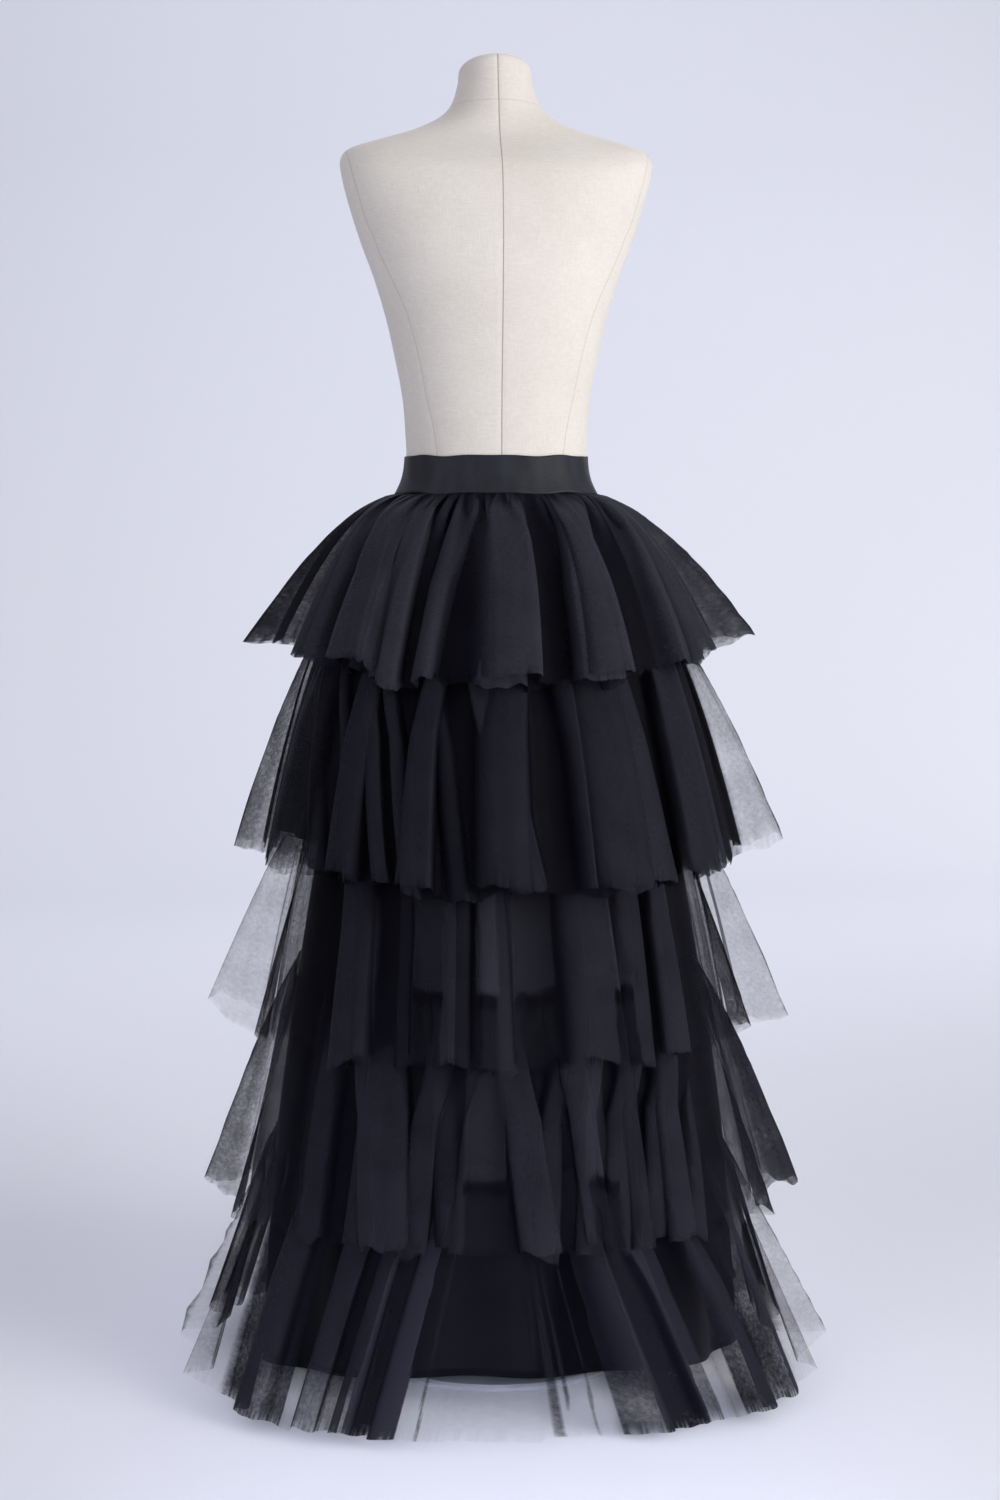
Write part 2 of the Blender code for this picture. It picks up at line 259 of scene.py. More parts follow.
weave = add_node(
    tree, "ShaderNodeMath", [(0, warp.outputs["Fac"]), (1, weft.outputs["Fac"])], operation="MULTIPLY"
)
tone = add_node(tree, "ShaderNodeTexNoise", [("Vector", place), ("Scale", 1 / 0.06), ("Detail", 3.0)])
woven = add_node(tree, "ShaderNodeMath", [(0, weave.outputs[0]), (1, 0.9)], operation="MULTIPLY")
toned = add_node(
    tree, "ShaderNodeMath", [(0, tone.outputs["Fac"]), (1, 0.3), (2, woven.outputs[0])],
    operation="MULTIPLY_ADD",
)
cloth_colour = add_node(tree, "ShaderNodeValToRGB", [("Fac", toned.outputs[0])])
cloth_colour.color_ramp.elements[0].position = 0.10
cloth_colour.color_ramp.elements[0].color = linear("#cbc4ba")
cloth_colour.color_ramp.elements[1].position = 0.70
cloth_colour.color_ramp.elements[1].color = linear("#e1dcd4")
axes = add_node(tree, "ShaderNodeSeparateXYZ", [("Vector", place)])
off_blade = add_node(tree, "ShaderNodeAttribute", attribute_name="off_blade_seam")
off_neck = add_node(tree, "ShaderNodeAttribute", attribute_name="off_neck_seam")
# each seam: distance from it, the groove's half width, how dark its painted shadow is
grooves = []
for across, half_width, dark in (
    (axes.outputs["X"], 0.0011, 1.0),
    (off_blade.outputs["Fac"], 0.0009, 0.4),
    (off_neck.outputs["Fac"], 0.0011, 0.25),
):
    away = add_node(tree, "ShaderNodeMath", [(0, across)], operation="ABSOLUTE")
    groove = add_node(
        tree, "ShaderNodeMapRange",
        [("Value", away.outputs[0]), ("From Max", half_width), ("To Min", dark), ("To Max", 0.0)],
    )
    grooves.append(groove.outputs[0])
seam = add_node(tree, "ShaderNodeMath", [(0, grooves[0]), (1, grooves[1])], operation="MAXIMUM")
seam = add_node(tree, "ShaderNodeMath", [(0, seam.outputs[0]), (1, grooves[2])], operation="MAXIMUM")
# a Mix node's colours are its inputs 6 and 7 and its output 2
# painted shadow in the seam grooves
shaded = add_node(
    tree, "ShaderNodeMix",
    [(0, seam.outputs[0]), (6, cloth_colour.outputs["Color"]), (7, linear("#978b7e"))],
    data_type="RGBA",
)
depth = add_node(
    tree, "ShaderNodeMath", [(0, seam.outputs[0]), (1, -2.0), (2, weave.outputs[0])],
    operation="MULTIPLY_ADD",
)
raised = add_node(
    tree, "ShaderNodeBump", [("Height", depth.outputs[0]), ("Strength", 0.5), ("Distance", 0.0004)]
)
tree.links.new(shaded.outputs[2], shader.inputs["Base Color"])
tree.links.new(raised.outputs["Normal"], shader.inputs["Normal"])

torso = cloth_grid(
    "linen_torso", AROUND_FORM, UP_FORM, torso_place, (0.74, 0.95),
    painted=[("off_blade_seam", off_blade_seam), ("off_neck_seam", off_neck_seam)],
)
wear(torso, linen)
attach(torso, "root")
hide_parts("form_torso")


# ------------------------------------------------------------------ lining
# The underskirt: two A-line panels of black polyester satin, seamed at the sides and sewn under
# the waistband. Its hem is turned up once and topstitched, a little higher at back and front.

AROUND_LINING = 288
UP_LINING = 120
LINING_CUT = (1.66, 1.05)
LINING_HEM_LIFT = 0.030
SATIN_THICKNESS = 0.0008
# height, half width, depth to the back, depth to the front, fold depth
LINING = np.array([
    (0.014, 0.2830, 0.240, 0.236, 0.0080),
    (0.275, 0.2660, 0.220, 0.216, 0.0060),
    (0.483, 0.2380, 0.190, 0.186, 0.0040),
    (0.700, 0.2030, 0.157, 0.151, 0.0020),
    (0.800, 0.1880, 0.142, 0.134, 0.0010),
    (0.900, 0.1720, 0.126, 0.117, 0.0),
    (0.925, 0.1660, 0.119, 0.110, 0.0),
    (0.955, 0.1590, 0.112, 0.102, 0.0),
    (1.010, 0.1385, 0.096, 0.090, 0.0),
    (1.040, 0.1160, 0.081, 0.080, 0.0),
])


def lining_place(u, v):
    """The lining's inner face, hanging straight from the hips in soft, uneven folds."""
    turn = 2 * math.pi * u
    section = smooth_rows(LINING, v * (len(LINING) - 1))
    height, half, back, front, fold = section.T
    wave = np.cos(9 * turn + 0.7) + 0.35 * np.cos(14 * turn + 2.0) * (1 - v)
    out = 1 + fold / half * wave
    sine = np.sin(turn)
    lift = LINING_HEM_LIFT * sine ** 2 * (1 - v) ** 4
    x = half * np.cos(turn) * out
    y = np.where(sine > 0, front, back) * sine * out
    return np.stack([x, y, height + lift], axis=1)


def give_wall(obj, thickness, offset):
    """A cloth wall on an open surface: offset 1 is outwards and -1 inwards."""
    wall = obj.modifiers.new("wall", "SOLIDIFY")
    wall.thickness = thickness
    wall.offset = offset
    wall.use_even_offset = True


# Polyester satin, black: long floats give a low, broad sheen across the thread, over a weave too
# fine to see. Threads are drawn 0.8 mm apart, coarser than life. The topstitch runs 7 mm above the
# hem's edge, a stitch of 3.2 mm every 4.5 mm.
satin, tree, shader = new_material(
    "black_satin", Base_Color=linear("#020208"), Specular_IOR_Level=0.05, Sheen_Weight=0.01
)
cut = add_node(tree, "ShaderNodeUVMap", uv_map="cut")
along = add_node(tree, "ShaderNodeMapping", [("Vector", cut.outputs[0]), ("Scale", (1.0, 0.08, 1.0))])
floats = add_node(
    tree, "ShaderNodeTexNoise", [("Vector", along.outputs[0]), ("Scale", 1 / 0.0008), ("Detail", 2.0)]
)
rumple = add_node(
    tree, "ShaderNodeTexNoise", [("Vector", along.outputs[0]), ("Scale", 1 / 0.03), ("Detail", 3.0)]
)
gloss = add_node(
    tree, "ShaderNodeMapRange", [("Value", rumple.outputs["Fac"]), ("To Min", 0.42), ("To Max", 0.58)]
)
sides = add_node(tree, "ShaderNodeSeparateXYZ", [("Vector", cut.outputs[0])])
from_row = add_node(tree, "ShaderNodeMath", [(0, sides.outputs["Y"]), (1, 0.007)], operation="SUBTRACT")
from_row = add_node(tree, "ShaderNodeMath", [(0, from_row.outputs[0])], operation="ABSOLUTE")
on_row = add_node(tree, "ShaderNodeMath", [(0, from_row.outputs[0]), (1, 0.0007)], operation="LESS_THAN")
pitch = add_node(tree, "ShaderNodeMath", [(0, sides.outputs["X"]), (1, 0.0045)], operation="MODULO")
thread = add_node(tree, "ShaderNodeMath", [(0, pitch.outputs[0]), (1, 0.0032)], operation="LESS_THAN")
stitch = add_node(
    tree, "ShaderNodeMath", [(0, on_row.outputs[0]), (1, thread.outputs[0])], operation="MULTIPLY"
)
height = add_node(
    tree, "ShaderNodeMath", [(0, stitch.outputs[0]), (1, 2.0), (2, floats.outputs["Fac"])],
    operation="MULTIPLY_ADD",
)
raised = add_node(
    tree, "ShaderNodeBump", [("Height", height.outputs[0]), ("Strength", 0.25), ("Distance", 0.0003)]
)
tree.links.new(gloss.outputs[0], shader.inputs["Roughness"])
tree.links.new(raised.outputs["Normal"], shader.inputs["Normal"])

lining = cloth_grid("satin_lining", AROUND_LINING, UP_LINING, lining_place, LINING_CUT)
give_wall(lining, SATIN_THICKNESS, 1.0)
wear(lining, satin)
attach(lining, "root")
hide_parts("lining")


# ------------------------------------------------------------------ under flounce
# A short stiff flounce of the same satin, sewn to the lining at the hips. It holds the second
# tier away from the legs, and its plain square hem shows through the tulle.

AROUND_FLOUNCE = 240
UP_FLOUNCE = 40
FLOUNCE_CUT = (1.55, 0.28)
FLOUNCE_SEAM_HEIGHT = 0.900
OFF_LINING = 0.002
# half width, depth to the back, depth to the front, height at the sides, height at back and front
FLOUNCE_HEM = (0.264, 0.220, 0.213, 0.645, 0.640)


def hem_ring(turn, half, back, front, side_height, face_height, square=2.0):
    """A hem's points: an ellipse, or a squarer ring, of unlike depths to the back and front."""
    cosine, sine = np.cos(turn), np.sin(turn)
    x = half * np.sign(cosine) * np.abs(cosine) ** (2 / square)
    y = np.where(sine > 0, front, back) * np.sign(sine) * np.abs(sine) ** (2 / square)
    return x, y, side_height + (face_height - side_height) * sine ** 2


def flounce_place(u, v):
    """From its seam at hip height out over the hips, and down to its hem."""
    turn = 2 * math.pi * u
    drop = 1 - v
    on_lining = smooth_at(LINING, 0 * u + FLOUNCE_SEAM_HEIGHT)[:, 1:4] + OFF_LINING
    seam_x, seam_y, seam_z = hem_ring(turn, *on_lining.T, FLOUNCE_SEAM_HEIGHT, FLOUNCE_SEAM_HEIGHT)
    hem_x, hem_y, hem_z = hem_ring(turn, *FLOUNCE_HEM)
    spread = drop ** 0.62
    wave = 1 + 0.022 * drop ** 0.8 * (np.cos(10 * turn + 0.4) + 0.5 * np.cos(17 * turn + 1.0))
    return np.stack([
        (seam_x + (hem_x - seam_x) * spread) * wave,
        (seam_y + (hem_y - seam_y) * spread) * wave,
        seam_z + (hem_z - seam_z) * drop,
    ], axis=1)


flounce = cloth_grid("satin_flounce", AROUND_FLOUNCE, UP_FLOUNCE, flounce_place, FLOUNCE_CUT)
give_wall(flounce, SATIN_THICKNESS, 1.0)
wear(flounce, satin)
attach(flounce, "root")
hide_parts("under_flounce")


# ------------------------------------------------------------------ tulle tiers
# Five rings of black nylon tulle, the upper four over a second, inner ply. A strip is cut about
# twice as wide as its seam and gathered onto it in small tight folds, which run together into a
# few deep ones at the raw-cut hem. The first goes under the waistband, the others on the lining.

# How far the cloth turns to either side of straight, in radians, at shares of the drop: the deep
# folds, the middling ones and the gathers at the seam.
TURNING = np.array([
    (0.00, 0.40, 0.35, 1.35),
    (0.05, 0.80, 0.50, 1.30),
    (0.12, 1.20, 0.50, 1.00),
    (0.25, 1.55, 0.30, 0.35),
    (0.50, 1.80, 0.12, 0.00),
    (1.00, 1.95, 0.05, 0.00),
])
# How far the folds may stand out at shares of the drop, as a share of their depth at the hem.
STANDING = np.array([
    (0.00, 0.02),
    (0.02, 0.15),
    (0.08, 0.35),
    (0.30, 0.65),
    (1.00, 1.00),
])
# The net bunches at the seam, denser by this many times itself. That fades over this share of the
# drop. Along the raw hem it frays to between the least and the most of itself.
BUNCHED = 1.6
BUNCHED_DROP = 0.08
FRAYED_LEAST = 0.1
FRAYED_MOST = 1.2
# The net's colour is painted light and shade. How light a fold is painted at most, from 0 to 1, and
# how much lighter and darker the puckers of the gathers are painted. They fade over this share of
# the drop.
LIGHTEST = 0.8
PUCKERED = 0.35
PUCKERED_DROP = 0.10
# Painted light and shade where the next tier's seam shows through: how light the net is painted
# above it, on it and below it, and the share of the drop that the seam takes.
ABOVE_SEAM = 0.85
ON_SEAM = 0.0
BELOW_SEAM = 0.3
SEAM_DROP = 0.05
# how light the folds that are as thin as a line are painted, a painted shade
THIN_FOLD = 0.1
# the seam allowance tucked in behind each seam, how far in and how far up
TUCKED_IN = 0.003
TUCKED_UP = 0.008
# metres that the hems hang to the right of the waist, and that they keep off the floor
SKIRT_SWAY = 0.004
HEM_CLEAR = 0.003


def wander(rng, s, terms, lowest=1):
    """A smooth random curve round the ring, closed on itself, from about -1 to 1."""
    total = 0 * s
    for k in range(lowest, lowest + terms):
        total = total + rng.normal() * np.sin(2 * math.pi * (k * s + rng.random())) / math.sqrt(terms)
    return total


def uneven_phase(rng, s, count, unevenness=0.45):
    """The phase of folds round a ring, wide here and narrow there."""
    slip = 0 * s
    for k in range(1, 8):
        slip = slip + rng.normal() * np.sin(2 * math.pi * (k * s + rng.random())) / (k * math.sqrt(7))
    return 2 * math.pi * count * s + count * unevenness * slip


def pressed(phase, flatness):
    """A fold's turning: 1 is a round organ-pipe fold, 3 a flat one with crisp edges."""
    wave = np.sin(phase)
    return wave * np.abs(wave) ** (flatness - 1)


def beside(x, y, degrees):
    """How far round from an angle each point of a ring is, in degrees, from 0 to 180."""
    return np.abs((np.degrees(np.arctan2(y, x)) - degrees + 180) % 360 - 180)


def gathered_strip(tier, ply):
    """(rows of points from hem to seam, thickness of net, painted light and shade, lightest on a fold's
    crest) for one ply.
    """
    rng = np.random.default_rng(ply["seed"])
    columns = tier["columns"]
    s = np.arange(columns) / columns
    deep = uneven_phase(rng, s, ply["folds"])
    middling = uneven_phase(rng, s, math.floor(2.1 * ply["folds"]))
    tight = uneven_phase(rng, s, tier["gathers"], 0.3)
    fullness = ply["fullness"] * (1 + 0.18 * wander(rng, s, 12, 2))
    twist = 0.3 * wander(rng, s, 10, 3)
    uneven_hem = tier["ragged"] * (
        wander(rng, s, 12, 4) + 0.4 * wander(rng, s, 30, 20) + 0.15 * wander(rng, s, 40, 90)
    )
    torn = np.random.default_rng(100 + ply["seed"]).random(columns) ** 1.5
    frayed = FRAYED_LEAST + (FRAYED_MOST - FRAYED_LEAST) * torn
    # the cloth hangs nearly smooth where a flap springs and in the calm places, found at the hem
    # in small steps, because the smoother the cloth hangs, the farther round it reaches
    calm = 1 + 0 * s
    for _ in range(24):
        heading = fullness * TURNING[-1, 1] * calm * pressed(deep, tier["flatness"])
        forward = np.cos(heading)
        around = 2 * math.pi * np.cumsum(forward) / forward.sum() + ply["start"]
        x, y, _ = hem_ring(around, *tier["hem"], tier["square"])
        wanted = 1 + 0 * s
        for angle, width, *_ in tier["flaps"]:
            wanted = wanted * (1 - 0.9 * np.exp(-(beside(x, y, angle) / (1.3 * width)) ** 4))
        for angle, width, share in tier["calm"]:
            wanted = wanted * (1 - (1 - share) * np.exp(-(beside(x, y, angle) / width) ** 4))
        calm = calm + 0.4 * (wanted - calm)
    rows, nets, painted_lights = [], [], []
    last = tier["rows"]
    for j in range(last + 1):
        drop = (max(0, last - 1 - j) / (last - 1)) ** 1.25
        turn_deep, turn_mid, turn_tight = (np.interp(drop, TURNING[:, 0], TURNING[:, k]) for k in (1, 2, 3))
        heading = (
            fullness * turn_deep * calm * pressed(deep + twist * (1 - drop), tier["flatness"])
            + turn_mid * calm * np.sin(middling + 1.3 * twist * drop)
            + turn_tight * np.sin(tight)
        )
        forward = np.cos(heading)
        around = 2 * math.pi * np.cumsum(forward) / forward.sum() + ply["start"]
        seam_x, seam_y, seam_z = hem_ring(around, *tier["seam"])
        half, back, front, side_height, face_height = tier["hem"]
        inside = ply["inside"]
        hem_x, hem_y, hem_z = hem_ring(
            around, half - inside, back - inside, front - inside, side_height, face_height, tier["square"]
        )
        hem_z = hem_z + uneven_hem + ply["lift"]
        spread = drop ** tier["bow"]
        x = seam_x + (hem_x - seam_x) * spread
        y = seam_y + (hem_y - seam_y) * spread
        z = seam_z + (hem_z - seam_z) * drop
        round_length = np.hypot(np.diff(x, append=x[0]), np.diff(y, append=y[0])).sum()
        out = np.cumsum(np.sin(heading)) * round_length / forward.sum()
        waves = np.fft.rfft(out)
        waves[:ply["folds"] // 2] = 0
        out = np.fft.irfft(waves, columns)
        most = tier["depth"] * np.interp(drop, STANDING[:, 0], STANDING[:, 1])
        out = most * np.tanh(out / most)
        # painted light and shade: lighter on a fold's crest and on tiers with more gleam, darker between
        # folds and near the seam
        painted_light = np.minimum(LIGHTEST, (0.5 + 0.5 * out / most) * tier["gleam"]) * min(1.0, 0.2 + 8 * drop)
        # painted light and shade on the puckers of the gathers, fading down from the seam
        painted_puckers = PUCKERED * np.sin(tight) * math.exp(-drop / PUCKERED_DROP)
        painted_light = np.clip(painted_light + painted_puckers, 0, LIGHTEST)
        # painted light above the next tier's seam, painted shade on it and below it
        for angle, width, seam_drop in tier["hazy"]:
            if drop < seam_drop:
                shade = ABOVE_SEAM
            elif drop < seam_drop + SEAM_DROP:
                shade = ON_SEAM
            else:
                shade = BELOW_SEAM
            painted_light = np.where(beside(hem_x, hem_y, angle) < width, shade, painted_light)
        net = ply["net"] * (1 + BUNCHED * math.exp(-drop / BUNCHED_DROP)) + 0 * s
        for angle, width, share in tier["thick"]:
            net = net + (share * ply["net"] - net) * (beside(hem_x, hem_y, angle) < width)
            # a fold as thin as a line gets a painted dark line
            if width < 1:
                painted_light = np.where(beside(hem_x, hem_y, angle) < width, THIN_FOLD, painted_light)
        for angle, width, reach, thickness, rise in tier["flaps"]:
            off = beside(hem_x, hem_y, angle) / width
            out = out * np.clip(off - 0.8, 0, 1)
            if ply["inside"] == 0:
                ridge = np.clip(1 - off, 0, 1)
                out = out + reach * ridge * drop ** 0.9
                z = z + rise * ridge * drop ** 2
                net = net + (thickness - net) * np.clip(6 * ridge, 0, 1) * min(1.0, 3 * drop)
        if j == 0:
            net = net * frayed
        # across the cloth: out and up from its own slope
        reach_out = np.hypot(hem_x - seam_x, hem_y - seam_y)
        steep = reach_out * tier["bow"] * max(drop, 0.02) ** (tier["bow"] - 1)
        fall = seam_z - hem_z
        slope = np.hypot(steep, fall)
        away = np.hypot(np.cos(around) / half, np.sin(around) / back)
        out_x, out_y = np.cos(around) / half / away, np.sin(around) / back / away
        x = x + out_x * out * fall / slope
        y = y + out_y * out * fall / slope
        z = z + out * steep / slope * min(1.0, 8 * drop) * 0.6
        z = np.maximum(z, HEM_CLEAR)
        if j == last:
            x = x - TUCKED_IN * out_x
            y = y - TUCKED_IN * out_y
            z = z + TUCKED_UP
        rows.append(np.stack([x + SKIRT_SWAY * drop, y, z], axis=1))
        nets.append(net)
        painted_lights.append(painted_light)
    return np.array(rows), np.array(nets), np.array(painted_lights)


def from_rows(values):
    """A function of u and v that gives these rows of values, from hem to seam, on cloth_grid's grid."""
    last = values.shape[0] - 1
    columns = values.shape[1]

    def pick(u, v):
        return values[np.rint(v * last).astype(int), np.rint(u * columns).astype(int) % columns]

    return pick


# Nylon tulle, black, semi-matt: a hexagonal net of fine threads that covers about a seventh of
# what is behind it. Its holes are 1 mm across, too fine to draw one by one; uneven tension thickens
# it in clouds 5 mm wide, in drifts of 35 mm. Seen edge-on, the threads close up. "net" counts the
# layers that lie on one another where small gathers bunch the cloth, and is below 1 where it is
# stretched or frays. The net's colour is painted light and shade, read from an attribute that is 1
# on top of a fold and 0 between two folds, where the net lies deepest and is painted darkest.
tulle, tree, shader = new_material("black_nylon_tulle", Roughness=0.65, Specular_IOR_Level=0.07)
cut = add_node(tree, "ShaderNodeUVMap", uv_map="cut")
cloud = add_node(
    tree, "ShaderNodeTexNoise",
    [("Vector", cut.outputs[0]), ("Scale", 1 / 0.005), ("Detail", 2.0), ("Roughness", 0.75)],
)
drift = add_node(
    tree, "ShaderNodeTexNoise", [("Vector", cut.outputs[0]), ("Scale", 1 / 0.035), ("Detail", 0.0)]
)
mottle = add_node(
    tree, "ShaderNodeMath", [(0, drift.outputs["Fac"]), (1, 0.5), (2, cloud.outputs["Fac"])],
    operation="MULTIPLY_ADD",
)
see_through = add_node(
    tree, "ShaderNodeMapRange",
    [("Value", mottle.outputs[0]), ("From Min", 0.5), ("To Min", 0.915), ("To Max", 0.80)],
)
painted_light_attribute = add_node(tree, "ShaderNodeAttribute", attribute_name="painted_light")
# Painted light and shade: the net's colour runs from near black between the folds to charcoal on their
# crests.
painted_fold_shade = add_node(tree, "ShaderNodeValToRGB", [("Fac", painted_light_attribute.outputs["Fac"])])
painted_fold_shade.color_ramp.elements[0].position = 0.15
painted_fold_shade.color_ramp.elements[0].color = linear("#060610")
painted_fold_shade.color_ramp.elements[1].position = 0.80
painted_fold_shade.color_ramp.elements[1].color = linear("#2c2c35")
painted_fold_shade.color_ramp.elements.new(1.0).color = linear("#373741")
tree.links.new(painted_fold_shade.outputs["Color"], shader.inputs["Base Color"])
bunched = add_node(tree, "ShaderNodeAttribute", attribute_name="net")
edge_on = add_node(tree, "ShaderNodeLayerWeight", [("Blend", 0.5)])
facing = add_node(
    tree, "ShaderNodeMath", [(0, 1.0), (1, edge_on.outputs["Facing"])], operation="SUBTRACT"
)
facing = add_node(tree, "ShaderNodeMath", [(0, facing.outputs[0]), (1, 0.12)], operation="MAXIMUM")
layers = add_node(
    tree, "ShaderNodeMath", [(0, bunched.outputs["Fac"]), (1, facing.outputs[0])], operation="DIVIDE"
)
through = add_node(
    tree, "ShaderNodeMath", [(0, see_through.outputs[0]), (1, layers.outputs[0])], operation="POWER"
)
threads = add_node(tree, "ShaderNodeMath", [(0, 1.0), (1, through.outputs[0])], operation="SUBTRACT")
tree.links.new(threads.outputs[0], shader.inputs["Alpha"])

# Each tier, from the waist down.
# columns and rows: the points round the strip and up it. length: of the cut strip.
# gathers: how many small folds the seam holds. gleam: how light the crests of its folds are painted, a
# painted highlight.
# bow: 1 hangs straight from seam to hem, less springs out from the seam first.
# flatness: 1 is round folds, more is flatter ones with crisp edges. depth: how far they may stand
# out at the hem. ragged: how far the raw hem wanders up and down. square: 2 is an oval hem, more a
# squarer one.
# seam and hem: half width, depth to the back and to the front, height at the sides, height at back
# and front.
# plies: name, folds round the ring, fullness, how far inside the outer one it hangs, hem lift,
# seed (which is also where the strip starts, in radians), layers of net.
# flaps, single folds that stand off the rest: angle, half width, reach, layers of net, hem rise.
# calm, where it hangs nearly smooth: angle, half width, share of the folds that is left.
# thick, or thin below 1: angle, half width, times the net.
# hazy, where the next tier's seam shows through, painted light above it and painted shade on and below it:
# angle, half width, share of the drop down to it.
# Angles are in degrees: 0 is the right-hand side seen from behind, -90 the centre back.
TIERS = [
    {
        "name": "tier_1", "columns": 744, "rows": 24, "length": 0.27, "gathers": 44, "gleam": 0.95,
        "bow": 0.57, "flatness": 1.0, "depth": 0.028, "ragged": 0.007, "square": 2.0,
        "seam": (0.1158, 0.0812, 0.0797, 1.0420, 1.0420),
        "hem": (0.256, 0.222, 0.218, 0.862, 0.832),
        "plies": [
            ("outer", 13, 0.74, 0.000, 0.000, 3, 8.0),
            ("inner", 16, 0.80, 0.012, -0.010, 4, 14.0),
        ],
        "flaps": [
            (-10, 9, 0.056, 9.2, -0.004), (180, 7, 0.054, 10.0, -0.004),
            (84, 6, 0.032, 4.0, 0.0), (47, 5, 0.032, 4.0, 0.0), (128, 5, 0.028, 4.0, 0.0),
        ],
        "calm": [],
        "thick": [],
        "hazy": [],
    },
    {
        "name": "tier_2", "columns": 744, "rows": 24, "length": 0.33, "gathers": 54, "gleam": 0.46,
        "bow": 0.58, "flatness": 1.1, "depth": 0.020, "ragged": 0.007, "square": 2.0,
        "seam": (0.1675, 0.1205, 0.1115, 0.925, 0.925),
        "hem": (0.290, 0.256, 0.250, 0.618, 0.600),
        "plies": [
            ("outer", 14, 0.80, 0.000, 0.000, 5, 9.0),
            ("inner", 17, 0.85, 0.010, -0.006, 6, 12.0),
        ],
        "flaps": [
            (-10, 11, 0.053, 1.3, 0.004), (180, 8, 0.030, 3.2, 0.004),
            (96, 7, 0.030, 1.8, 0.006), (55, 6, 0.026, 2.0, 0.004), (138, 6, 0.028, 2.0, 0.004),
        ],
        "calm": [(-160, 15, 0.2), (160, 15, 0.2)],
        "thick": [(180, 32, 0.32)],
        "hazy": [],
    },
    {
        "name": "tier_3", "columns": 744, "rows": 48, "length": 0.32, "gathers": 60, "gleam": 0.54,
        "bow": 0.66, "flatness": 2.2, "depth": 0.020, "ragged": 0.010, "square": 2.0,
        "seam": (0.2045, 0.1585, 0.1525, 0.700, 0.700),
        "hem": (0.289, 0.262, 0.258, 0.410, 0.404),
        "plies": [
            ("outer", 15, 0.92, 0.000, 0.000, 7, 6.0),
            ("inner", 18, 0.95, 0.014, -0.008, 8, 5.0),
        ],
        "flaps": [
            (-10, 10, 0.061, 1.0, 0.014), (180, 9, 0.065, 1.2, 0.016),
            (-31, 8, 0.046, 4.0, 0.0), (-158, 8, 0.036, 2.8, 0.0),
            (80, 7, 0.036, 1.2, 0.010), (36, 6, 0.026, 1.6, 0.006), (132, 6, 0.030, 1.6, 0.006),
        ],
        "calm": [
            (-85, 6, 0.3), (-113, 5, 0.3),
            (-157, 17, 0.15), (157, 17, 0.15), (-26, 13, 0.15), (26, 13, 0.15),
        ],
        "thick": [(180, 38, 0.2), (0, 38, 0.2), (-113, 4, 0.25), (-85, 5.5, 0.25), (-62, 3.5, 0.4)],
        "hazy": [(-113, 4, 0.73), (-85, 5.5, 0.73), (-62, 3.5, 0.73), (-98, 3, 0.73)],
    },
    {
        "name": "tier_4", "columns": 744, "rows": 48, "length": 0.32, "gathers": 62, "gleam": 0.48,
        "bow": 0.80, "flatness": 1.6, "depth": 0.021, "ragged": 0.010, "square": 2.0,
        "seam": (0.2415, 0.1935, 0.1895, 0.483, 0.483),
        "hem": (0.318, 0.287, 0.283, 0.203, 0.200),
        "plies": [
            ("outer", 15, 0.92, 0.000, 0.000, 9, 6.0),
            ("inner", 19, 0.95, 0.012, -0.008, 10, 5.0),
        ],
        "flaps": [
            (-10, 9, 0.046, 8.0, 0.006), (180, 9, 0.040, 3.0, 0.006),
            (-29, 8, 0.044, 4.0, 0.0), (-159, 8, 0.036, 3.0, 0.0),
            (100, 7, 0.030, 2.4, 0.004), (60, 6, 0.026, 2.6, 0.004), (140, 6, 0.028, 2.6, 0.004),
        ],
        "calm": [(-98, 6, 0.3), (-158, 16, 0.15), (158, 16, 0.15), (-26, 13, 0.15), (26, 13, 0.15)],
        "thick": [(180, 36, 0.2), (0, 36, 0.22), (-98, 5, 0.3), (-70, 4, 0.4)],
        "hazy": [(-98, 5, 0.73), (-70, 4, 0.73)],
    },
    {
        "name": "tier_5", "columns": 1488, "rows": 24, "length": 0.29, "gathers": 66, "gleam": 0.42,
        "bow": 1.05, "flatness": 2.4, "depth": 0.019, "ragged": 0.004, "square": 3.4,
        "seam": (0.2695, 0.2235, 0.2195, 0.275, 0.275),
        "hem": (0.345, 0.344, 0.334, 0.018, 0.009),
        "plies": [("outer", 20, 0.95, 0.000, 0.000, 11, 3.4)],
        "flaps": [
            (-12, 10, 0.049, 0.8, 0.006), (180, 10, 0.053, 0.6, 0.008),
            (-157, 7, 0.046, 0.7, 0.0), (-28, 6, 0.026, 0.7, 0.0),
            (88, 7, 0.020, 1.6, 0.004), (45, 6, 0.012, 2.0, 0.004), (128, 6, 0.014, 2.0, 0.004),
        ],
        "calm": [(-92.5, 21, 0.10), (-53, 5, 0.2), (-31, 6, 0.2), (-132.8, 4, 0.3)],
        # a later row lies over an earlier one: panels and bunches first, then folds as thin as lines,
        # denser net with a painted dark line
        "thick": [
            (-166, 10, 0.35), (-145, 10.5, 3.0), (-132.8, 2.0, 0.2), (-126.1, 4.8, 1.6),
            (-117.1, 4.2, 9.0), (-101.5, 11.5, 0.22), (-81, 9, 0.12), (-68.8, 3.4, 2.4),
            (-62, 3.5, 9.0), (-57.2, 1.3, 2.0), (-42.5, 7, 4.5), (-53, 3.2, 0.25), (-30, 5.5, 0.25),
            (-109.7, 0.25, 2.6), (-90.0, 0.23, 1.4), (-87.3, 0.25, 2.6), (-86.3, 0.23, 2.0),
            (-83.6, 0.8, 2.4), (-80.8, 0.25, 2.6), (-75.9, 0.23, 1.6),
        ],
        "hazy": [],
    },
]

